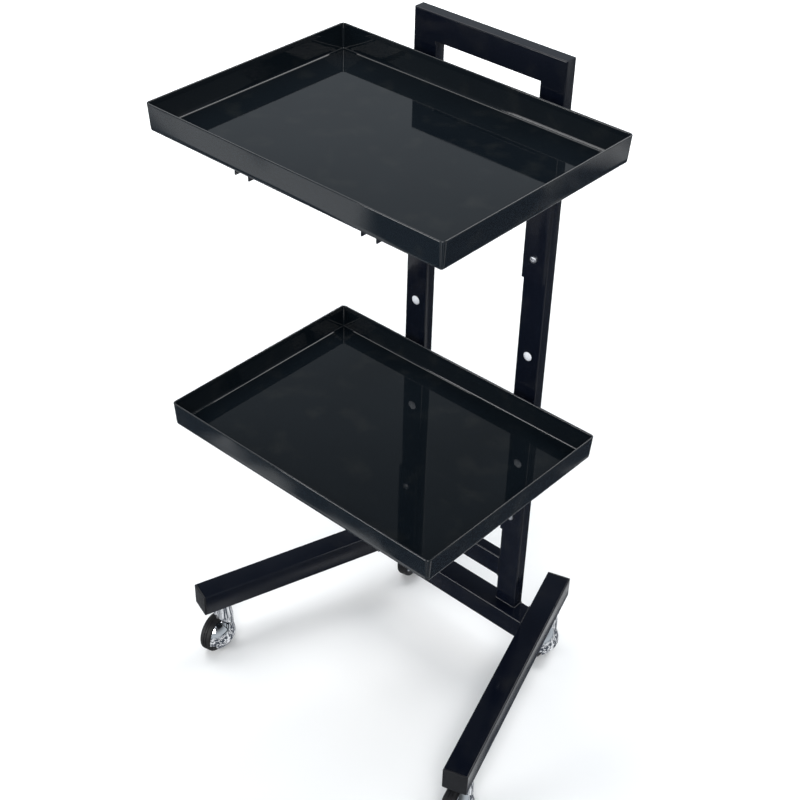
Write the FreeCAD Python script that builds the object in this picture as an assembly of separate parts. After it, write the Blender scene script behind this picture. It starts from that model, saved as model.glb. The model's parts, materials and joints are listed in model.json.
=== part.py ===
import FreeCAD, Part
import math
import os

# Rolling salon trolley: a welded ladder frame on two splayed legs with four
# hooded casters, and two open trays bolted to the uprights on steel brackets.
# Millimetres. While building, x = 0 is the frame's middle plane, y = 0 the front
# face of the uprights (+Y is the back) and z = 0 the floor. The finished parts
# are moved so that the origin is the bottom centre of the whole trolley's box.

V = FreeCAD.Vector
UP = V(0, 0, 1)

# ---- driving dimensions -------------------------------------------------------
FRAME_TOP = 829.0           # floor to the top of the handle bar
FRAME_WIDTH = 194.0         # over the outside of the two uprights
TUBE_W, TUBE_D = 30.0, 15.0     # upright and bar section, wide face forward
BASE_TUBE = 30.0            # square section of the legs and the bottom bar
TUBE_WALL = 1.5
TUBE_CORNER = 1.6           # outer corner radius of every tube

BASE_TOP = 103.0            # top of the legs and of the bottom bar
MIDDLE_BAR_TOP = 170.0
LEG_SPLAY = 18.0            # degrees, legs wider apart at the front
LEG_OFFSET = 130.0          # leg centreline from the middle plane at y = 0
LEG_FRONT, LEG_REAR = 260.0, 89.0   # leg length in front of and behind y = 0

TRAY_W, TRAY_D, TRAY_H = 375.0, 274.0, 29.5     # over the rim, and wall height
TRAY_SHEET = 1.5
TRAY_DRAFT = 2.0            # how far each wall leans in at the floor
TRAY_CORNER = 5.0           # corner radius in plan
TRAY_BEND = 2.5             # outside radius between wall and floor
TRAY_GAP = 10.5             # uprights to the tray's back rim
TRAY_RIMS = {"upper": 789.0, "lower": 432.0}    # rim height above the floor

FLANGE_W, FLANGE_T, FLANGE_DROP = 28.0, 4.5, 180.0      # bracket back plate
ARM_W, ARM_H, ARM_SHEET = 20.0, 21.5, 1.5       # bracket arm, a channel open below
ARM_SETBACK = 22.5          # arm end behind the tray's front edge
SCREW_R, SCREW_HEAD_R, SCREW_HEAD_T = 2.5, 4.2, 2.6
SCREW_DROPS = (45.0, 153.5)     # bracket screws below the tray floor
STUD_INSETS = (40.0, 228.0)     # tray studs in front of the uprights
STUD_R, STUD_LENGTH = 2.5, 11.0
PLUG_Z, PLUG_R, PLUG_DOME = 480.0, 5.5, 2.2     # caps over the spare frame holes
PLUG_STEM_R = 3.0
END_HEAD, END_SPIGOT = 2.5, 12.0    # leg end plugs: visible head, and spigot in the tube

CASTER_H = BASE_TOP - BASE_TUBE     # floor to the underside of the leg
CASTER_INSET = 28.0         # caster stem from each end of a leg
CASTER_HEADING = 14.0       # degrees, the way all four casters point at rest
TRAIL = 12.0                # wheel centre behind the swivel axis
WHEEL_R = 25.0
WHEEL_X = (-14.3, 2.3)      # wheel width along the axle
STEM_R, AXLE_R, RUNNING = 5.0, 4.0, 0.05    # pins, and their radial clearance
HOOD_R, HOOD_SHEET = 27.8, 1.5      # ball shaped hood
HOOD_CX = -8.0              # centre of the hood's ball along the axle
CAP_R, CAP_SHEET = 23.5, 1.5        # chrome half ball on the wheel
CAP_CX = -6.5
ARM_PLATE_X = (3.0, 6.2)    # hood's inner arm, between the wheel and its cap
HOOD_EDGE_Z = 24.0          # the hood covers the upper half only
STEM_FLANGE_R, STEM_FLANGE_T = 11.0, 2.0
NECK_R, NECK_BOTTOM, NECK_TOP_R = 12.5, 51.0, 9.0
NECK_TOP = CASTER_H - STEM_FLANGE_T - 0.3
RETAINER_R, RETAINER_T, RETAINER_Z = 7.4, 2.6, 52.0
HUB_R = 17.5

# ---- positions that follow from them ------------------------------------------
SIDES = {"left": -1, "right": 1}
HALF = FRAME_WIDTH / 2
UPRIGHT_X = HALF - TUBE_W / 2
LEG_Z = BASE_TOP - BASE_TUBE / 2
BASE_BAR_Y = TUBE_D - BASE_TUBE / 2     # the bar's back face is flush with the uprights
TRAY_CENTRE_Y = -(TRAY_GAP + TRAY_D / 2)
WHEEL_Y, WHEEL_Z = -TRAIL, WHEEL_R


# ---- helpers ------------------------------------------------------------------
def box(x0, x1, y0, y1, z0, z1):
    return Part.makeBox(x1 - x0, y1 - y0, z1 - z0, V(x0, y0, z0))


def rod(radius, start, end):
    span = V(*end) - V(*start)
    return Part.makeCylinder(radius, span.Length, V(*start), span)


def rounded_wire(half_u, half_v, radius, z, centre=(0.0, 0.0)):
    """Closed rounded rectangle in the plane at height z."""
    cu, cv = centre
    edges = []
    corners = ((1, 1, 0), (-1, 1, 90), (-1, -1, 180), (1, -1, 270))
    ends = []
    for su, sv, start in corners:
        mid = V(cu + su * (half_u - radius), cv + sv * (half_v - radius), z)
        points = []
        for turn in (0, 45, 90):
            a = math.radians(start + turn)
            points.append(mid + V(radius * math.cos(a), radius * math.sin(a), 0))
        edges.append(Part.Arc(*points).toShape())
        ends.append((points[0], points[2]))
    lines = []
    for i in range(4):
        lines.append(Part.LineSegment(ends[i][1], ends[(i + 1) % 4][0]).toShape())
    ordered = []
    for arc, line in zip(edges, lines):
        ordered += [arc, line]
    return Part.Wire(ordered)


def tube(width, depth, length):
    """Rounded rectangular tube along +Z, centred on the axis."""
    outer = Part.Face(rounded_wire(width / 2, depth / 2, TUBE_CORNER, 0))
    inner_r = max(TUBE_CORNER - TUBE_WALL, 0.4)
    inner = Part.Face(rounded_wire(width / 2 - TUBE_WALL, depth / 2 - TUBE_WALL, inner_r, 0))
    return outer.cut(inner).extrude(V(0, 0, length))


def filled(width, depth, length):
    """The same tube's outside as a solid, for cutting neighbours to fit."""
    face = Part.Face(rounded_wire(width / 2, depth / 2, TUBE_CORNER, 0))
    return face.extrude(V(0, 0, length))


def placed(shape, origin, z_axis, x_axis):
    """Copy of a shape with its +Z and +X turned to the given directions."""
    z = V(*z_axis).normalize()
    x = V(*x_axis).normalize()
    y = z.cross(x)
    matrix = FreeCAD.Matrix(x.x, y.x, z.x, origin[0], x.y, y.y, z.y, origin[1],
                            x.z, y.z, z.z, origin[2], 0, 0, 0, 1)
    copy = shape.copy()
    copy.Placement = FreeCAD.Placement(matrix)
    return copy


def hexagon(across_flats, z0, z1, x=0.0, y=0.0):
    radius = across_flats / math.sqrt(3)
    points = [V(x + radius * math.cos(math.radians(60 * k)),
                y + radius * math.sin(math.radians(60 * k)), z0) for k in range(7)]
    return Part.Face(Part.makePolygon(points)).extrude(V(0, 0, z1 - z0))


# ---- welded frame -------------------------------------------------------------
def mitre_wedge():
    """Everything above the two 45 degree corner cuts of the handle bar."""
    low = FRAME_TOP - TUBE_W
    inner = HALF - TUBE_W
    points = [V(-HALF, -1, FRAME_TOP), V(-inner, -1, low), V(inner, -1, low),
              V(HALF, -1, FRAME_TOP), V(HALF, -1, FRAME_TOP + 1), V(-HALF, -1, FRAME_TOP + 1),
              V(-HALF, -1, FRAME_TOP)]
    return Part.Face(Part.makePolygon(points)).extrude(V(0, TUBE_D + 2, 0))


def upright(sign):
    x = sign * UPRIGHT_X
    length = FRAME_TOP - BASE_TOP
    post = placed(tube(TUBE_W, TUBE_D, length), (x, TUBE_D / 2, BASE_TOP), (0, 0, 1), (1, 0, 0))
    post = post.cut(mitre_wedge())
    for height in bracket_screw_heights():
        post = post.cut(rod(SCREW_R + 0.1, (x, -1, height), (x, TUBE_WALL + 1, height)))
    return post.cut(rod(PLUG_STEM_R + 0.1, (x, -1, PLUG_Z), (x, TUBE_WALL + 1, PLUG_Z)))


def bracket_screw_heights():
    return [rim - TRAY_H - drop for rim in TRAY_RIMS.values() for drop in SCREW_DROPS]


def top_bar():
    bar = placed(tube(TUBE_W, TUBE_D, FRAME_WIDTH),
                 (-HALF, TUBE_D / 2, FRAME_TOP - TUBE_W / 2), (1, 0, 0), (0, 0, 1))
    return bar.common(mitre_wedge())


def middle_bar():
    inner = HALF - TUBE_W
    return placed(tube(TUBE_W, TUBE_D, 2 * inner),
                  (-inner, TUBE_D / 2, MIDDLE_BAR_TOP - TUBE_W / 2), (1, 0, 0), (0, 0, 1))


def leg_direction(sign):
    """Unit vector along a leg, towards the back."""
    a = math.radians(LEG_SPLAY)
    return V(-sign * math.sin(a), math.cos(a), 0)


def leg_point(sign, along, z):
    d = leg_direction(sign)
    return (sign * LEG_OFFSET + d.x * along, d.y * along, z)


def leg_axes(sign):
    d = leg_direction(sign)
    return (d.x, d.y, 0), (d.y, -d.x, 0)


def caster_stations():
    """Name, leg side and distance along the leg of each caster stem."""
    front = -(LEG_FRONT - CASTER_INSET)
    rear = LEG_REAR - CASTER_INSET
    return [("fl", -1, front), ("fr", 1, front), ("rl", -1, rear), ("rr", 1, rear)]


def leg(sign):
    body = placed(tube(BASE_TUBE, BASE_TUBE, LEG_FRONT + LEG_REAR),
                  leg_point(sign, -LEG_FRONT, LEG_Z), *leg_axes(sign))
    for _, side, along in caster_stations():
        if side == sign:
            x, y, _ = leg_point(sign, along, 0)
            body = body.cut(rod(STEM_R + 0.2, (x, y, CASTER_H - 1), (x, y, CASTER_H + TUBE_WALL + 1)))
    return body


def bottom_bar():
    reach = LEG_OFFSET + BASE_TUBE
    bar = placed(tube(BASE_TUBE, BASE_TUBE, 2 * reach), (-reach, BASE_BAR_Y, LEG_Z), (1, 0, 0), (0, 0, 1))
    for sign in SIDES.values():
        inner_x = LEG_OFFSET - BASE_TUBE / 2 / math.cos(math.radians(LEG_SPLAY))
        lean = math.tan(math.radians(LEG_SPLAY))
        far = 2 * reach
        points = [V(sign * (inner_x + lean * 60), -60, LEG_Z - 40),
                  V(sign * (inner_x - lean * 60), 60, LEG_Z - 40),
                  V(sign * far, 60, LEG_Z - 40), V(sign * far, -60, LEG_Z - 40)]
        outside = Part.Face(Part.makePolygon(points + [points[0]])).extrude(V(0, 0, 80))
        bar = bar.cut(outside)
    return bar


def leg_plug(sign, end):
    """Moulded end plug: a head the size of the tube and a hollow spigot inside it."""
    head = filled(BASE_TUBE, BASE_TUBE, END_HEAD)
    outer_edges = [e for e in head.Edges if e.BoundBox.ZMin > END_HEAD - 0.01]
    head = head.makeFillet(0.9, outer_edges)
    half = BASE_TUBE / 2 - TUBE_WALL - 0.1
    spigot = box(-half, half, -half, half, -END_SPIGOT, 0)
    spigot = spigot.cut(box(-half + 2, half - 2, -half + 2, half - 2, -END_SPIGOT - 1, -2))
    plug = head.fuse(spigot)
    d = leg_direction(sign)
    along = LEG_REAR if end == "rear" else -LEG_FRONT
    facing = (d.x, d.y, 0) if end == "rear" else (-d.x, -d.y, 0)
    return placed(plug, leg_point(sign, along, LEG_Z), facing, (0, 0, 1))


# ---- trays --------------------------------------------------------------------
def tray_block(inset, floor, top):
    """Tapered solid between two heights above the tray floor, walls moved in by inset."""
    wires = []
    for z in (floor, top):
        lean = TRAY_DRAFT * (1 - z / TRAY_H)
        radius = TRAY_CORNER - inset
        wires.append(rounded_wire(TRAY_W / 2 - inset - lean, TRAY_D / 2 - inset - lean, radius, z,
                                  (0, TRAY_CENTRE_Y)))
    return Part.makeLoft(wires, True, True)


def tray(rim):
    shell = tray_block(0, 0, TRAY_H)
    base_edges = [e for e in shell.Edges if e.BoundBox.ZMax < 0.01]
    shell = shell.makeFillet(TRAY_BEND, base_edges)
    hollow = tray_block(TRAY_SHEET, TRAY_SHEET, TRAY_H + 1)
    inner_edges = [e for e in hollow.Edges if e.BoundBox.ZMax < TRAY_SHEET + 0.01]
    hollow = hollow.makeFillet(TRAY_BEND - TRAY_SHEET, inner_edges)
    pan = shell.cut(hollow)
    pan.translate(V(0, 0, rim - TRAY_H))
    return pan


def tray_studs(rim):
    """Four threaded studs welded under the tray floor."""
    floor = rim - TRAY_H
    studs = []
    for sign in SIDES.values():
        for inset in STUD_INSETS:
            x, y = sign * UPRIGHT_X, -inset
            studs.append(rod(STUD_R, (x, y, floor - STUD_LENGTH), (x, y, floor)))
    return studs


def tray_nuts(rim):
    """Washer and hexagon nut in one flanged nut on each stud, under the arm's web."""
    top = rim - TRAY_H - ARM_SHEET
    nuts = []
    for sign in SIDES.values():
        for inset in STUD_INSETS:
            x, y = sign * UPRIGHT_X, -inset
            nut = rod(5.5, (x, y, top - 1.0), (x, y, top)).fuse(hexagon(8.0, top - 5.0, top - 1.0, x, y))
            nuts.append(nut.cut(rod(STUD_R, (x, y, top - 6), (x, y, top + 1))))
    return nuts


def bracket(sign, rim):
    """Back plate screwed to the upright, and the channel arm under the tray."""
    x, floor = sign * UPRIGHT_X, rim - TRAY_H
    plate = box(x - FLANGE_W / 2, x + FLANGE_W / 2, -FLANGE_T, 0, floor - FLANGE_DROP, floor)
    end = -(TRAY_GAP + TRAY_D - TRAY_DRAFT - ARM_SETBACK)
    arm = box(x - ARM_W / 2, x + ARM_W / 2, end, -FLANGE_T, floor - ARM_H, floor)
    arm = arm.cut(box(x - ARM_W / 2 + ARM_SHEET, x + ARM_W / 2 - ARM_SHEET, end - 1, -FLANGE_T,
                      floor - ARM_H - 1, floor - ARM_SHEET))
    solid = plate.fuse(arm).removeSplitter()
    for drop in SCREW_DROPS:
        z = floor - drop
        solid = solid.cut(rod(SCREW_R + 0.1, (x, -FLANGE_T - 1, z), (x, 1, z)))
    for inset in STUD_INSETS:
        solid = solid.cut(rod(STUD_R + 0.2, (x, -inset, floor - ARM_SHEET - 1), (x, -inset, floor + 1)))
    return solid


def bracket_screws(sign, rim):
    """Two pan head screws with rivet nuts inside the upright."""
    x, floor = sign * UPRIGHT_X, rim - TRAY_H
    screws = []
    for drop in SCREW_DROPS:
        z = floor - drop
        head = Part.makeCylinder(SCREW_HEAD_R, SCREW_HEAD_T, V(x, -FLANGE_T, z), V(0, -1, 0))
        rim_edge = [e for e in head.Edges if e.BoundBox.YMax < -FLANGE_T - SCREW_HEAD_T + 0.01]
        head = head.makeFillet(1.6, rim_edge)
        shank = rod(SCREW_R, (x, -FLANGE_T, z), (x, TUBE_D - TUBE_WALL - 1, z))
        slot = SCREW_HEAD_T - 1.2
        for w, h in ((4.0, 0.9), (0.9, 4.0)):
            head = head.cut(box(x - w / 2, x + w / 2, -FLANGE_T - SCREW_HEAD_T - 1, -FLANGE_T - slot,
                                z - h / 2, z + h / 2))
        screws.append(head.fuse(shank))
    return screws


def hole_plug(sign):
    """Domed plastic cap with a short stem in the upright's spare hole."""
    x = sign * UPRIGHT_X
    ball_r = (PLUG_R ** 2 + PLUG_DOME ** 2) / (2 * PLUG_DOME)
    ball = Part.makeSphere(ball_r, V(x, ball_r - PLUG_DOME, PLUG_Z))
    dome = ball.common(box(x - PLUG_R, x + PLUG_R, -PLUG_DOME - 1, 0, PLUG_Z - PLUG_R, PLUG_Z + PLUG_R))
    return dome.fuse(rod(PLUG_STEM_R, (x, 0, PLUG_Z), (x, 5, PLUG_Z)))


# ---- casters ------------------------------------------------------------------
# Each caster is drawn with its swivel axis on the z axis, the wheel ahead on -Y
# and the axle along x, then turned to its heading and moved under the leg.
def caster_stem():
    """Stem with its flange against the leg and a riveted head that holds the hood."""
    stem = rod(STEM_R, (0, 0, RETAINER_Z), (0, 0, CASTER_H + 18))
    flange = rod(STEM_FLANGE_R, (0, 0, CASTER_H - STEM_FLANGE_T), (0, 0, CASTER_H))
    head = rod(RETAINER_R, (0, 0, RETAINER_Z), (0, 0, RETAINER_Z + RETAINER_T))
    return stem.fuse(flange).fuse(head)


def caster_nut():
    """Hexagon nut on the stem, inside the leg."""
    z = CASTER_H + TUBE_WALL
    return hexagon(17.0, z, z + 8).cut(rod(STEM_R, (0, 0, z - 1), (0, 0, z + 9)))


def ball(radius, cx):
    return Part.makeSphere(radius, V(cx, WHEEL_Y, WHEEL_Z))


def caster_hood():
    """Quarter ball over one side of the wheel, with its neck and inner axle arm."""
    inside = ball(HOOD_R - HOOD_SHEET, HOOD_CX)
    quarter = box(ARM_PLATE_X[0], 40, -60, 60, HOOD_EDGE_Z, 60)
    shell = ball(HOOD_R, HOOD_CX).cut(inside).common(quarter)
    neck = Part.makeCone(NECK_R, NECK_TOP_R, NECK_TOP - NECK_BOTTOM, V(0, 0, NECK_BOTTOM))
    root = rod(NECK_R, (0, 0, 36), (0, 0, NECK_BOTTOM)).common(box(ARM_PLATE_X[0], 40, -60, 60, 30, 60))
    root = root.cut(inside)
    plate = box(ARM_PLATE_X[0], ARM_PLATE_X[1], WHEEL_Y - 8, WHEEL_Y + 8, WHEEL_Z, 60)
    plate = plate.fuse(rod(8, (ARM_PLATE_X[0], WHEEL_Y, WHEEL_Z), (ARM_PLATE_X[1], WHEEL_Y, WHEEL_Z)))
    plate = plate.common(ball(HOOD_R - 0.3, HOOD_CX))
    hood = shell.fuse([neck, root, plate])
    hood = hood.cut(rod(STEM_R + RUNNING, (0, 0, 30), (0, 0, CASTER_H)))
    hood = hood.cut(rod(RETAINER_R + 0.5, (0, 0, 30), (0, 0, RETAINER_Z + RETAINER_T + 0.3)))
    hood = hood.cut(rod(AXLE_R + RUNNING, (0, WHEEL_Y, WHEEL_Z), (12, WHEEL_Y, WHEEL_Z)))
    return hood.removeSplitter()


def caster_axle():
    """Axle turning with the wheel, with a button head on the open side."""
    axle = rod(AXLE_R, (WHEEL_X[0], WHEEL_Y, WHEEL_Z), (15, WHEEL_Y, WHEEL_Z))
    head = Part.makeCylinder(6.5, 2.4, V(WHEEL_X[0], WHEEL_Y, WHEEL_Z), V(-1, 0, 0))
    rim_edge = [e for e in head.Edges if e.BoundBox.XMax < WHEEL_X[0] - 2.3]
    return axle.fuse(head.makeFillet(1.5, rim_edge))


def caster_hub():
    """Wheel centre with a dished open side."""
    hub = rod(HUB_R, (WHEEL_X[0] + 1.0, WHEEL_Y, WHEEL_Z), (WHEEL_X[1], WHEEL_Y, WHEEL_Z))
    dish = rod(HUB_R - 3, (WHEEL_X[0], WHEEL_Y, WHEEL_Z), (WHEEL_X[0] + 4, WHEEL_Y, WHEEL_Z))
    dish = dish.cut(rod(8, (WHEEL_X[0] - 1, WHEEL_Y, WHEEL_Z), (WHEEL_X[0] + 5, WHEEL_Y, WHEEL_Z)))
    boss = rod(8, (WHEEL_X[0], WHEEL_Y, WHEEL_Z), (WHEEL_X[0] + 5, WHEEL_Y, WHEEL_Z))
    hub = hub.fuse(boss).cut(dish)
    return hub.cut(rod(AXLE_R, (WHEEL_X[0] - 1, WHEEL_Y, WHEEL_Z), (WHEEL_X[1] + 1, WHEEL_Y, WHEEL_Z)))


def caster_tyre():
    """Solid rubber tyre with rounded shoulders."""
    ring = rod(WHEEL_R, (WHEEL_X[0], WHEEL_Y, WHEEL_Z), (WHEEL_X[1], WHEEL_Y, WHEEL_Z))
    ring = ring.makeFillet(4.0, [e for e in ring.Edges if e.Closed and len(e.Vertexes) == 1
                                 and abs(e.BoundBox.XMax - e.BoundBox.XMin) < 0.01])
    return ring.cut(rod(HUB_R, (WHEEL_X[0] - 1, WHEEL_Y, WHEEL_Z), (WHEEL_X[1] + 1, WHEEL_Y, WHEEL_Z)))


def caster_cap():
    """Hollow half ball pressed on the axle's end, turning with the wheel."""
    start = ARM_PLATE_X[1] + 0.8
    outside = box(start, 40, -60, 60, -10, 60)
    shell = ball(CAP_R, CAP_CX).cut(ball(CAP_R - CAP_SHEET, CAP_CX)).common(outside)
    boss = rod(6.5, (start, WHEEL_Y, WHEEL_Z), (CAP_CX + CAP_R, WHEEL_Y, WHEEL_Z))
    boss = boss.common(ball(CAP_R - 0.3, CAP_CX))
    return shell.fuse(boss).cut(rod(AXLE_R, (0, WHEEL_Y, WHEEL_Z), (15, WHEEL_Y, WHEEL_Z)))


def caster_place(shape, sign, along, turned=True):
    x, y, _ = leg_point(sign, along, 0)
    copy = shape.copy()
    if turned:
        copy.rotate(V(0, 0, 0), UP, CASTER_HEADING)
    else:
        copy.rotate(V(0, 0, 0), UP, sign * LEG_SPLAY)
    copy.translate(V(x, y, 0))
    return copy


# ---- the whole trolley --------------------------------------------------------
def build():
    """Every node's name and its list of solids, in the building frame."""
    nodes = {"top_bar": [top_bar()], "middle_bar": [middle_bar()], "bottom_bar": [bottom_bar()]}
    for side, sign in SIDES.items():
        nodes["upright_" + side] = [upright(sign)]
        nodes["leg_" + side] = [leg(sign)]
        nodes["hole_plug_" + side] = [hole_plug(sign)]
        for end in ("front", "rear"):
            nodes["leg_plug_" + side + "_" + end] = [leg_plug(sign, end)]
    for level, rim in TRAY_RIMS.items():
        nodes[level + "_tray"] = [tray(rim)]
        nodes[level + "_tray_studs"] = tray_studs(rim)
        nodes[level + "_tray_nuts"] = tray_nuts(rim)
        for side, sign in SIDES.items():
            nodes[level + "_bracket_" + side] = [bracket(sign, rim)]
            nodes[level + "_bracket_screws_" + side] = bracket_screws(sign, rim)
    makers = {"stem": caster_stem(), "hood": caster_hood(), "axle": caster_axle(),
              "hub": caster_hub(), "tyre": caster_tyre(), "cap": caster_cap()}
    nut = caster_nut()
    for name, sign, along in caster_stations():
        for piece, shape in makers.items():
            nodes["caster_" + name + "_" + piece] = [caster_place(shape, sign, along)]
        nodes["caster_" + name + "_nut"] = [caster_place(nut, sign, along, turned=False)]
    return nodes


def origin_shift(nodes):
    """Move that puts the origin at the bottom centre of the trolley's box."""
    whole = FreeCAD.BoundBox()
    for solids in nodes.values():
        for solid in solids:
            whole.add(solid.optimalBoundingBox())
    return V(-whole.Center.x, -whole.Center.y, -whole.ZMin)


def main():
    nodes = build()
    shift = origin_shift(nodes)
    os.makedirs("parts", exist_ok=True)
    for name, solids in nodes.items():
        for solid in solids:
            solid.translate(shift)
        shape = solids[0] if len(solids) == 1 else Part.makeCompound(solids)
        if not shape.isValid():
            raise RuntimeError(name + " is not a valid shape")
        shape.exportStep("parts/" + name + ".step")
    print(len(nodes), "nodes, shift", shift)


main()
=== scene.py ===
import json
import math

import bmesh
import bpy
from mathutils import Matrix, Vector


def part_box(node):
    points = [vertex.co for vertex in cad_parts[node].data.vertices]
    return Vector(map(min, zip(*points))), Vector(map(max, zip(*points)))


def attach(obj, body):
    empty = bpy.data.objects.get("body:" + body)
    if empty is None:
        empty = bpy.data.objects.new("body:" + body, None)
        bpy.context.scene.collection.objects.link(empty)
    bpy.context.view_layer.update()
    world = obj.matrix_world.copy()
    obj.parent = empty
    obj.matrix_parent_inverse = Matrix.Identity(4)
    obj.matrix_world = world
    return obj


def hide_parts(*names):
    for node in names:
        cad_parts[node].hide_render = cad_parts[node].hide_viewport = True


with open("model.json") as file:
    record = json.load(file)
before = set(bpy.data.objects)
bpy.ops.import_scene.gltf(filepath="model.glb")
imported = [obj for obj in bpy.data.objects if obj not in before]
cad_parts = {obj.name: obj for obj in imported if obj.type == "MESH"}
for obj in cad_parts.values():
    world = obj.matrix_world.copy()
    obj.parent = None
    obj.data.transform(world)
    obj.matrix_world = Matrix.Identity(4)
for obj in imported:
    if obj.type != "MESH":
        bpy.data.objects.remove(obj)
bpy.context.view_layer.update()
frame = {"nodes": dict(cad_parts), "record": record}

MM = 0.001
RECORD = frame["record"]
BODY_OF = {n: body for body, nodes in RECORD["behaviour"]["bodies"].items() for n in nodes}
SLOT_OF = {s["node"]: s["material_slot"] for s in RECORD["subparts"]}
CASTERS = ("fl", "fr", "rl", "rr")

# driving sizes that the frame's boxes do not give, in metres or degrees, and counts of steps
TRAY_DRAFT = 2.0 * MM
TRAY_SHEET = 1.5 * MM
TRAY_CORNER = 5.0 * MM
TRAY_BEND = 2.5 * MM
HEM_R = 1.05 * MM
HEM_DROP = 6.0 * MM
WALL_FOOT = 6.0 * MM       # first straight point of the wall, above the bend
LEG_SPLAY = 18.0
CASTER_HEADING = 14.0
WELD_R = 0.9 * MM
WELD_PITCH = 0.9 * MM       # between the rings of a bead
WELD_SIDES = 10
TYRE_HALF = 8.3 * MM
WHEEL_R = 25.0 * MM
HUB_R = 17.5 * MM
TYRE_STEPS = 128
GROOVE_AT = 1.6 * MM        # each groove from the middle of the tread
GROOVE_DEPTH = 0.7 * MM
BALL_OFFSET = 2.0 * MM      # middle of the hood's ball from the middle of the tyre
HOOD_EDGE_DROP = 1.0 * MM   # hood's rim below the axle
LIP_R = 0.7 * MM
LIP_PATH_R = 27.0 * MM
LIP_SPAN = 65.0             # degrees each side of the axle
LIP_SIDES = 10

# edges sharper than this many degrees stay sharp, or are broken by a bevel
SHARP_ANGLE = 35.0
BEVEL_SEGMENTS = 3

FRAME_TUBES = ("upright_left", "upright_right", "top_bar", "middle_bar", "bottom_bar",
               "leg_left", "leg_right")

# studio, in metres
FLOOR_R = 24.0
WALL_R = 23.0
WALL_GLOW = 0.97
LAMP_TARGET = (0, 0, 0.4)

# name, place, size and power of each soft light
LAMPS = (
    ("left", (-1.95, 0.1, 3.3), 2.0, 40.0),
    ("rear", (0.25, 2.1, 3.2), 1.8, 50.0),
    ("key", (1.9, -2.3, 2.8), 1.6, 88.0),
    ("low", (-1.2, -2.9, 1.0), 1.2, 46.0),
)

# brightness of the surroundings against the sine of the elevation
SKY = (
    (-0.12, 0.10), (0.00, 0.34), (0.22, 0.52), (0.44, 0.42),
    (0.60, 0.22), (0.70, 0.09), (0.82, 0.07), (0.93, 1.2),
)
SKY_TINT = (0.91, 0.99, 1.06)
PATCH_DARK = (0.07, 0.08, 0.10)
PATCH_LIGHT = (0.90, 0.92, 0.94)

# camera, in degrees and metres
AZIMUTH, ELEVATION, ROLL = 41.16, 37.89, 1.47
DISTANCE = 1.7463
AIM_RIGHT, AIM_UP, AIM_HEIGHT = -0.0822, -0.0127, 0.3495
FOCAL_WIDTHS = 1.8445       # focal length in picture widths
SENSOR = 36.0
SHIFT_X, SHIFT_Y = 0.00625, 0.0375
CLIP_END = 60.0


# ---- materials ----------------------------------------------------------------
def new_material(name, base, roughness, metallic=0.0, specular=0.5):
    material = bpy.data.materials.new(name)
    material.use_nodes = True
    shader = material.node_tree.nodes["Principled BSDF"]
    shader.inputs["Base Color"].default_value = (*base, 1.0)
    shader.inputs["Roughness"].default_value = roughness
    shader.inputs["Metallic"].default_value = metallic
    shader.inputs["Specular IOR Level"].default_value = specular
    return material, shader


def noise(tree, scale, detail=3.0, stretch=(1, 1, 1)):
    """Noise in object space, so that its grain keeps its real size."""
    place = tree.nodes.new("ShaderNodeTexCoord")
    mapping = tree.nodes.new("ShaderNodeMapping")
    mapping.inputs["Scale"].default_value = stretch
    texture = tree.nodes.new("ShaderNodeTexNoise")
    texture.inputs["Scale"].default_value = scale
    texture.inputs["Detail"].default_value = detail
    tree.links.new(place.outputs["Object"], mapping.inputs["Vector"])
    tree.links.new(mapping.outputs["Vector"], texture.inputs["Vector"])
    return texture.outputs["Fac"]


def spread(tree, value, low, high, start=0.35, stop=0.65):
    """The noise value stretched to the range from low to high."""
    node = tree.nodes.new("ShaderNodeMapRange")
    for key, number in (("From Min", start), ("From Max", stop), ("To Min", low), ("To Max", high)):
        node.inputs[key].default_value = number
    tree.links.new(value, node.inputs["Value"])
    return node.outputs["Result"]


def blend_colours(tree, value, first, second):
    node = tree.nodes.new("ShaderNodeMix")
    node.data_type = "RGBA"
    if isinstance(first, tuple):
        node.inputs["A"].default_value = (*first, 1.0)
    else:
        tree.links.new(first, node.inputs["A"])
    node.inputs["B"].default_value = (*second, 1.0)
    tree.links.new(value, node.inputs["Factor"])
    return node.outputs["Result"]


def add_bump(tree, shader, layers):
    """Stack bumps on the shader: each layer is a value and its depth in metres."""
    normal = None
    for value, depth in layers:
        bump = tree.nodes.new("ShaderNodeBump")
        bump.inputs["Distance"].default_value = depth
        tree.links.new(value, bump.inputs["Height"])
        if normal is not None:
            tree.links.new(normal, bump.inputs["Normal"])
        normal = bump.outputs["Normal"]
    tree.links.new(normal, shader.inputs["Normal"])


def gloss_paint(name, dark, light, rough, specular, peel, smudge):
    """Stoved enamel: near black, faint orange peel, soft changes of gloss and dull smudges."""
    material, shader = new_material(name, dark, rough[0], specular=specular)
    tree = material.node_tree
    cloud = spread(tree, noise(tree, 9.0, 4.0), 0.0, 1.0)
    paint = blend_colours(tree, cloud, dark, light)
    dust = spread(tree, noise(tree, 34.0, 8.0), 0.0, 1.0, 0.55, 0.80)
    tree.links.new(blend_colours(tree, dust, paint, smudge), shader.inputs["Base Color"])
    wipe = spread(tree, noise(tree, 22.0, 6.0, (1, 1, 0.35)), rough[0], rough[1])
    tree.links.new(wipe, shader.inputs["Roughness"])
    add_bump(tree, shader, [(noise(tree, 420.0, 1.0), peel), (noise(tree, 2600.0, 1.0), peel * 0.15)])
    return material


def bright_metal(name, base, shade, rough, grain):
    material, shader = new_material(name, base, rough[0], metallic=1.0)
    tree = material.node_tree
    film = spread(tree, noise(tree, 60.0, 5.0), 0.0, 1.0)
    tree.links.new(blend_colours(tree, film, base, shade), shader.inputs["Base Color"])
    tree.links.new(spread(tree, noise(tree, 140.0, 4.0), rough[0], rough[1]), shader.inputs["Roughness"])
    add_bump(tree, shader, [(noise(tree, grain, 2.0), 0.00002)])
    return material


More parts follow.
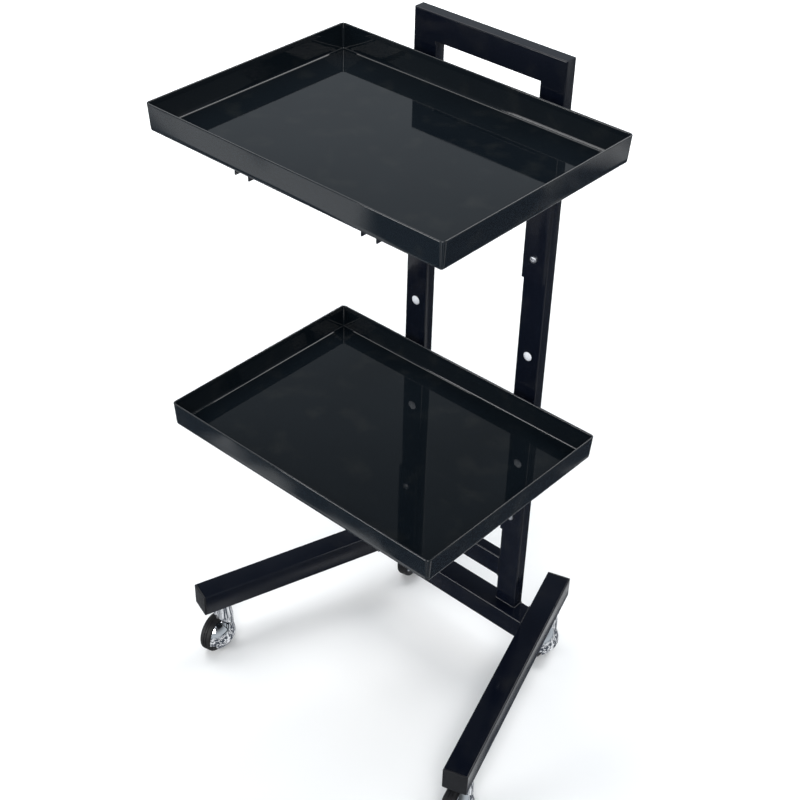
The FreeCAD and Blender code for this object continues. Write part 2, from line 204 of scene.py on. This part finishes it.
def moulded(name, dark, light, rough, grain, depth):
    """Moulded plastic or rubber: fine grain and a little dust in its colour."""
    material, shader = new_material(name, dark, rough[0], specular=0.3)
    tree = material.node_tree
    dust = spread(tree, noise(tree, 85.0, 6.0), 0.0, 1.0, 0.4, 0.75)
    tree.links.new(blend_colours(tree, dust, dark, light), shader.inputs["Base Color"])
    tree.links.new(spread(tree, noise(tree, 230.0, 4.0), rough[0], rough[1]), shader.inputs["Roughness"])
    add_bump(tree, shader, [(noise(tree, grain, 3.0), depth)])
    return material


MATERIALS = {
    "frame_black": gloss_paint("frame_paint", (0.0024, 0.0036, 0.0078), (0.0036, 0.0050, 0.0096),
                               (0.09, 0.16), 0.34, 0.00002, (0.0085, 0.0095, 0.0125)),
    "bracket_black": gloss_paint("bracket_paint", (0.0028, 0.0040, 0.0084), (0.0042, 0.0056, 0.0104),
                                 (0.12, 0.20), 0.34, 0.00003, (0.0085, 0.0095, 0.0125)),
    "tray_black": gloss_paint("tray_paint", (0.0034, 0.0056, 0.0080), (0.0046, 0.0070, 0.0096),
                              (0.02, 0.055), 0.5, 0.000003, (0.0110, 0.0130, 0.0140)),
    "plug_black": moulded("end_plug_plastic", (0.0045, 0.0050, 0.0068), (0.0075, 0.0080, 0.0098),
                          (0.34, 0.48), 1900.0, 0.00003),
    "cap_white": moulded("cap_plastic", (0.60, 0.62, 0.66), (0.70, 0.71, 0.73),
                         (0.25, 0.38), 1500.0, 0.00002),
    "zinc": bright_metal("zinc_plate", (0.72, 0.73, 0.76), (0.56, 0.57, 0.60), (0.22, 0.36), 900.0),
    "chrome": bright_metal("chrome_plate", (0.88, 0.89, 0.91), (0.80, 0.81, 0.83), (0.035, 0.09), 260.0),
    "hub_black": moulded("hub_plastic", (0.012, 0.012, 0.014), (0.022, 0.022, 0.023), (0.35, 0.5),
                         1700.0, 0.00003),
    "tyre_black": moulded("tyre_rubber", (0.0055, 0.0056, 0.0070), (0.0130, 0.0126, 0.0125), (0.45, 0.65),
                          1300.0, 0.00006),
}


# ---- making pieces ------------------------------------------------------------
def finish_piece(obj, node, also=()):
    """Give a piece the material of its node's slot and its body, and hide the nodes that it stands for.
    """
    slot = SLOT_OF[node]
    obj.data.materials.clear()
    obj.data.materials.append(MATERIALS[slot])
    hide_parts(node, *also)
    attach(obj, BODY_OF[node])


def mesh_object(name, bm, smooth_angle=SHARP_ANGLE):
    mesh = bpy.data.meshes.new(name)
    bmesh.ops.recalc_face_normals(bm, faces=bm.faces)
    bm.to_mesh(mesh)
    bm.free()
    mesh.shade_smooth()
    mesh.set_sharp_from_angle(angle=math.radians(smooth_angle))
    obj = bpy.data.objects.new(name, mesh)
    bpy.context.scene.collection.objects.link(obj)
    return obj


def add_bevel(obj, width):
    bevel = obj.modifiers.new("edge_break", "BEVEL")
    bevel.width = width
    bevel.segments = BEVEL_SEGMENTS
    bevel.limit_method = "ANGLE"
    bevel.angle_limit = math.radians(SHARP_ANGLE)
    bevel.harden_normals = True


def eased(node, width, smooth_angle=SHARP_ANGLE):
    """The node's own shape with its sharp edges broken, as a drawn and painted piece has them."""
    bm = bmesh.new()
    bm.from_mesh(frame["nodes"][node].data)
    bmesh.ops.remove_doubles(bm, verts=bm.verts, dist=0.002 * MM)
    bmesh.ops.dissolve_limit(bm, angle_limit=math.radians(0.4), verts=bm.verts, edges=bm.edges)
    obj = mesh_object(node + "_skin", bm, smooth_angle)
    if width:
        add_bevel(obj, width)
    finish_piece(obj, node)


def bridge_rings(bm, rings):
    """Skin a list of equal rings of vertices with quads."""
    for first, second in zip(rings, rings[1:]):
        count = len(first)
        for i in range(count):
            j = (i + 1) % count
            bm.faces.new((first[i], first[j], second[j], second[i]))


def rounded_ring(half_x, half_y, radius, z, centre, steps=8):
    """Points of a rounded rectangle, with arcs at its corners."""
    points = []
    for sx, sy, start in ((1, 1, 0), (-1, 1, 90), (-1, -1, 180), (1, -1, 270)):
        for k in range(steps + 1):
            a = math.radians(start + 90.0 * k / steps)
            points.append(Vector((centre[0] + sx * (half_x - radius) + radius * math.cos(a),
                                  centre[1] + sy * (half_y - radius) + radius * math.sin(a), z)))
    return points


def arc(centre, radius, start, stop, steps):
    """Points of an arc in the profile plane, angles in degrees."""
    points = []
    for k in range(steps + 1):
        a = math.radians(start + (stop - start) * k / steps)
        points.append((centre[0] + radius * math.cos(a), centre[1] + radius * math.sin(a)))
    return points


# ---- trays --------------------------------------------------------------------
def tray_profile(height):
    """(inset, height) points from the underside, up the wall, over the hem and down to the floor."""
    def lean(z):
        return TRAY_DRAFT * (1 - z / height)

    points = [(TRAY_DRAFT + TRAY_BEND + 4 * MM, 0.0), (TRAY_DRAFT + TRAY_BEND + 0.6 * MM, 0.0)]
    points += arc((TRAY_DRAFT + TRAY_BEND, TRAY_BEND), TRAY_BEND, 270, 180, 8)
    points += [(lean(WALL_FOOT), WALL_FOOT), (lean(height - 3 * MM), height - 3 * MM)]
    points += arc((HEM_R, height - HEM_R), HEM_R, 180, 0, 10)
    hem_low = height - HEM_DROP
    points += [(2 * HEM_R, hem_low + 0.5 * MM), (lean(hem_low) + TRAY_SHEET, hem_low)]
    points.append((lean(WALL_FOOT) + TRAY_SHEET, WALL_FOOT))
    inner = TRAY_BEND - TRAY_SHEET + 0.9 * MM
    corner = (TRAY_DRAFT + TRAY_SHEET + inner, TRAY_SHEET + inner)
    points += arc(corner, inner, 180, 270, 8)
    points += [(corner[0] + 0.6 * MM, TRAY_SHEET), (corner[0] + 4 * MM, TRAY_SHEET)]
    return points


def make_tray(node):
    low, high = (Vector(v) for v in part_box(node))
    centre = (low + high) / 2
    half_x, half_y = (high.x - low.x) / 2, (high.y - low.y) / 2
    bm = bmesh.new()
    rings = []
    for inset, z in tray_profile(high.z - low.z):
        radius = max(TRAY_CORNER - inset, 0.4 * MM)
        points = rounded_ring(half_x - inset, half_y - inset, radius, low.z + z, centre)
        rings.append([bm.verts.new(p) for p in points])
    bridge_rings(bm, rings)
    bm.faces.new(rings[0])
    bm.faces.new(rings[-1])
    obj = mesh_object(node + "_pan", bm, 45.0)
    normals = obj.modifiers.new("flat_faces", "WEIGHTED_NORMAL")
    normals.keep_sharp = True
    finish_piece(obj, node)


# ---- casters ------------------------------------------------------------------
def caster_axes():
    a = math.radians(CASTER_HEADING)
    return Vector((math.cos(a), math.sin(a), 0.0))


def axle_centre(name):
    """Middle of the tyre, on the wheel's axis."""
    low, high = (Vector(v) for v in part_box(f"caster_{name}_tyre"))
    return (low + high) / 2


def tyre_profile():
    """Solid tyre with rounded shoulders and two fine grooves in its tread."""
    shoulder = 4.0 * MM
    inner = TYRE_HALF - shoulder
    points = [(-TYRE_HALF, HUB_R), (-TYRE_HALF, WHEEL_R - shoulder)]
    points += arc((-inner, WHEEL_R - shoulder), shoulder, 180, 90, 8)
    for groove in (-GROOVE_AT, GROOVE_AT):
        points += [(groove - 0.5 * MM, WHEEL_R), (groove - 0.25 * MM, WHEEL_R - GROOVE_DEPTH),
                   (groove + 0.25 * MM, WHEEL_R - GROOVE_DEPTH), (groove + 0.5 * MM, WHEEL_R)]
    points += arc((inner, WHEEL_R - shoulder), shoulder, 90, 0, 8)
    points.append((TYRE_HALF, HUB_R))
    return points


def make_tyre(name):
    node = f"caster_{name}_tyre"
    bm = bmesh.new()
    axis = caster_axes()
    side = axis.cross(Vector((0, 0, 1))).normalized()
    up = side.cross(axis)
    centre = axle_centre(name)
    rings = []
    for along, radius in tyre_profile():
        ring = []
        for k in range(TYRE_STEPS):
            a = 2 * math.pi * k / TYRE_STEPS
            point = centre + axis * along + side * (radius * math.cos(a))
            ring.append(bm.verts.new(point + up * (radius * math.sin(a))))
        rings.append(ring)
    bridge_rings(bm, rings + [rings[0]])
    finish_piece(mesh_object(node + "_skin", bm, 40.0), node)


def make_hood_lip(name, steps=40):
    """Rolled edge along the hood's lower rim, just inside its ball."""
    axis = caster_axes()
    ahead = Vector((axis.y, -axis.x, 0.0))
    centre = axle_centre(name) - axis * BALL_OFFSET
    centre.z += LIP_R - HOOD_EDGE_DROP
    bm = bmesh.new()
    rings = []
    for k in range(steps + 1):
        a = math.radians(LIP_SPAN * (2 * k / steps - 1))
        outward = axis * math.cos(a) + ahead * math.sin(a)
        ring = []
        for m in range(LIP_SIDES):
            b = 2 * math.pi * m / LIP_SIDES
            across = outward * (LIP_PATH_R + LIP_R * math.cos(b))
            ring.append(bm.verts.new(centre + across + Vector((0, 0, LIP_R * math.sin(b)))))
        rings.append(ring)
    bridge_rings(bm, rings)
    bm.faces.new(rings[0])
    bm.faces.new(rings[-1])
    lip = mesh_object(f"caster_{name}_hood_lip", bm, 50.0)
    lip.data.materials.append(MATERIALS["chrome"])
    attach(lip, BODY_OF[f"caster_{name}_hood"])


def make_casters():
    for name in CASTERS:
        make_tyre(name)
        make_hood_lip(name)
        for piece, width in (("hood", 0.35 * MM), ("cap", 0.3 * MM), ("hub", 0.4 * MM), ("axle", 0.0),
                             ("stem", 0.4 * MM)):
            round_piece = piece in ("hood", "cap", "axle")
            eased(f"caster_{name}_{piece}", width, 50.0 if round_piece else SHARP_ANGLE)


# ---- frame --------------------------------------------------------------------
def weld_bead(name, corners, radius=WELD_R):
    """Bead of weld along a closed run of corners, with the ripples of its puddles."""
    bm = bmesh.new()
    path = []
    for start, end in zip(corners, corners[1:] + corners[:1]):
        span = end - start
        count = max(int(span.length / WELD_PITCH), 4)
        path += [(start + span * (k / count), span.normalized()) for k in range(count)]
    rings = []
    for index, (point, along) in enumerate(path):
        before = path[index - 1][1]
        direction = (along + before).normalized()
        side = direction.cross(Vector((0, 0, 1)))
        side = side.normalized() if side.length > 0.1 else Vector((1, 0, 0))
        up = side.cross(direction)
        puff = radius * (1.0 + 0.10 * math.sin(index * 1.9))
        rings.append([bm.verts.new(point + side * (puff * math.cos(a)) + up * (puff * math.sin(a)))
                      for a in (2 * math.pi * k / WELD_SIDES for k in range(WELD_SIDES))])
    bridge_rings(bm, rings + [rings[0]])
    obj = mesh_object(name, bm, 60.0)
    obj.data.materials.append(MATERIALS["frame_black"])
    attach(obj, "frame")


def make_frame():
    for node in FRAME_TUBES:
        eased(node, 0.0, 30.0)
    for side in ("left", "right"):
        low, high = (Vector(v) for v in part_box("upright_" + side))
        z = low.z + 0.3 * MM
        foot = [Vector((low.x, low.y, z)), Vector((high.x, low.y, z)),
                Vector((high.x, high.y - WELD_R, z)), Vector((low.x, high.y - WELD_R, z))]
        weld_bead("weld_foot_" + side, foot)
    low, high = (Vector(v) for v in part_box("middle_bar"))
    for side, x in (("left", low.x), ("right", high.x)):
        run = [Vector((x, low.y, low.z)), Vector((x, high.y, low.z)), Vector((x, high.y, high.z)),
               Vector((x, low.y, high.z))]
        weld_bead("weld_middle_" + side, run, WELD_R * 0.7)
    low, high = (Vector(v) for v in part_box("bottom_bar"))
    lean = math.tan(math.radians(LEG_SPLAY)) * (high.y - low.y)
    for side, x, way in (("left", low.x, 1), ("right", high.x, -1)):
        run = [Vector((x, low.y, low.z)), Vector((x + way * lean, high.y, low.z)),
               Vector((x + way * lean, high.y, high.z)), Vector((x, low.y, high.z))]
        weld_bead("weld_leg_" + side, run)


def make_small_parts():
    for side in ("left", "right"):
        for end in ("front", "rear"):
            eased(f"leg_plug_{side}_{end}", 0.3 * MM)
        eased("hole_plug_" + side, 0.0, 50.0)
        for level in ("upper", "lower"):
            eased(f"{level}_bracket_{side}", 0.5 * MM)
            eased(f"{level}_bracket_screws_{side}", 0.12 * MM)
    for level in ("upper", "lower"):
        eased(level + "_tray_nuts", 0.2 * MM)
        eased(level + "_tray_studs", 0.3 * MM)


def dress_hidden_nodes():
    for name in CASTERS:
        node = frame["nodes"][f"caster_{name}_nut"]
        node.data.materials.clear()
        node.data.materials.append(MATERIALS["zinc"])


# ---- stage --------------------------------------------------------------------
def make_stage():
    """Pale floor with a painted glow that brightens it away from the trolley, and a plain pale wall far
    behind it.
    """
    bpy.ops.mesh.primitive_circle_add(vertices=96, radius=FLOOR_R, fill_type="NGON", location=(0, 0, 0))
    floor = bpy.context.object
    floor.name = "studio_floor"
    material, shader = new_material("studio_floor", (0.90, 0.90, 0.90), 0.85, specular=0.1)
    tree = material.node_tree
    cloud = spread(tree, noise(tree, 1.5), 0.0, 1.0)
    tone = blend_colours(tree, cloud, (0.89, 0.89, 0.89), (0.91, 0.91, 0.905))
    tree.links.new(tone, shader.inputs["Base Color"])
    place = tree.nodes.new("ShaderNodeTexCoord")
    length = tree.nodes.new("ShaderNodeVectorMath")
    length.operation = "LENGTH"
    tree.links.new(place.outputs["Object"], length.inputs[0])
    # painted glow: the floor's emission rises from none within 0.5 m of the middle to full strength 3 m
    # out
    glow = spread(tree, length.outputs["Value"], 0.0, 1.0, 0.5, 3.0)
    tree.links.new(glow, shader.inputs["Emission Strength"])
    floor.data.materials.append(material)
    floor.visible_glossy = False
    shader.inputs["Emission Color"].default_value = (1.0, 1.0, 1.0, 1.0)

    bpy.ops.mesh.primitive_uv_sphere_add(segments=64, ring_count=32, radius=WALL_R, location=(0, 0, 0))
    wall = bpy.context.object
    wall.name = "studio_wall"
    material, shader = new_material("studio_wall", (0.0, 0.0, 0.0), 1.0, specular=0.0)
    shader.inputs["Emission Color"].default_value = (1.0, 1.0, 1.0, 1.0)
    shader.inputs["Emission Strength"].default_value = WALL_GLOW
    wall.data.materials.append(material)
    wall.visible_diffuse = False
    wall.visible_glossy = False
    wall.visible_transmission = False
    wall.visible_shadow = False

    make_world()
    for name, place_at, size, power in LAMPS:
        light = bpy.data.lights.new(name, "AREA")
        light.size = size
        light.energy = power
        lamp = bpy.data.objects.new(name, light)
        bpy.context.scene.collection.objects.link(lamp)
        lamp.location = place_at
        aim = Vector(LAMP_TARGET) - Vector(place_at)
        lamp.rotation_euler = aim.to_track_quat("-Z", "Y").to_euler()


def make_world():
    """A plain room: broken light low down, an even grey-blue wall above it and a bright ceiling."""
    world = bpy.data.worlds.new("studio")
    bpy.context.scene.world = world
    world.use_nodes = True
    tree = world.node_tree
    place = tree.nodes.new("ShaderNodeTexCoord")
    split = tree.nodes.new("ShaderNodeSeparateXYZ")
    tree.links.new(place.outputs["Generated"], split.inputs["Vector"])
    along = spread(tree, split.outputs["Z"], 0.0, 1.0, -1.0, 1.0)
    ramp = tree.nodes.new("ShaderNodeValToRGB")
    stops = ramp.color_ramp.elements
    while len(stops) < len(SKY):
        stops.new(0.5)
    for stop, (sine, level) in zip(stops, SKY):
        stop.position = (sine + 1) / 2
        stop.color = (*(level * tint for tint in SKY_TINT), 1.0)
    tree.links.new(along, ramp.inputs["Fac"])
    texture = tree.nodes.new("ShaderNodeTexNoise")
    texture.inputs["Scale"].default_value = 5.5
    texture.inputs["Detail"].default_value = 3.0
    texture.inputs["Distortion"].default_value = 0.8
    tree.links.new(place.outputs["Generated"], texture.inputs["Vector"])
    patches = blend_colours(tree, spread(tree, texture.outputs["Fac"], 0.0, 1.0, 0.49, 0.57),
                            PATCH_DARK, PATCH_LIGHT)
    above = spread(tree, split.outputs["Z"], 0.0, 1.0, -0.15, 0.15)
    low = tree.nodes.new("ShaderNodeMix")
    low.data_type = "RGBA"
    tree.links.new(above, low.inputs["Factor"])
    tree.links.new(patches, low.inputs["A"])
    tree.links.new(ramp.outputs["Color"], low.inputs["B"])
    background = tree.nodes["Background"]
    tree.links.new(low.outputs["Result"], background.inputs["Color"])
    background.inputs["Strength"].default_value = 1.0


def make_camera():
    """Camera above and to the right of the trolley's front."""
    az, el, roll = (math.radians(v) for v in (AZIMUTH, ELEVATION, ROLL))
    back = Vector((math.sin(az) * math.cos(el), -math.cos(az) * math.cos(el), math.sin(el)))
    right = Vector((0, 0, 1)).cross(back).normalized()
    up = back.cross(right)
    right, up = right * math.cos(roll) + up * math.sin(roll), up * math.cos(roll) - right * math.sin(roll)
    uprights = [Vector(v) for node in ("upright_left", "upright_right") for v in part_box(node)]
    middle_x = (min(v.x for v in uprights) + max(v.x for v in uprights)) / 2
    front_y = min(v.y for v in uprights)
    aim = Vector((middle_x, front_y, AIM_HEIGHT))
    place_at = aim + back * DISTANCE + right * AIM_RIGHT + up * AIM_UP
    data = bpy.data.cameras.new("camera")
    data.sensor_width = SENSOR
    data.lens = FOCAL_WIDTHS * SENSOR
    data.shift_x, data.shift_y = SHIFT_X, SHIFT_Y
    data.clip_end = CLIP_END
    camera = bpy.data.objects.new("camera", data)
    turn = Matrix((right, up, back)).transposed().to_4x4()
    camera.matrix_world = Matrix.Translation(place_at) @ turn
    bpy.context.scene.collection.objects.link(camera)
    bpy.context.scene.camera = camera


make_camera()
make_stage()
make_frame()
for tray_node in ("upper_tray", "lower_tray"):
    make_tray(tray_node)
make_small_parts()
make_casters()
dress_hidden_nodes()
bpy.context.scene.view_settings.view_transform = "Standard"
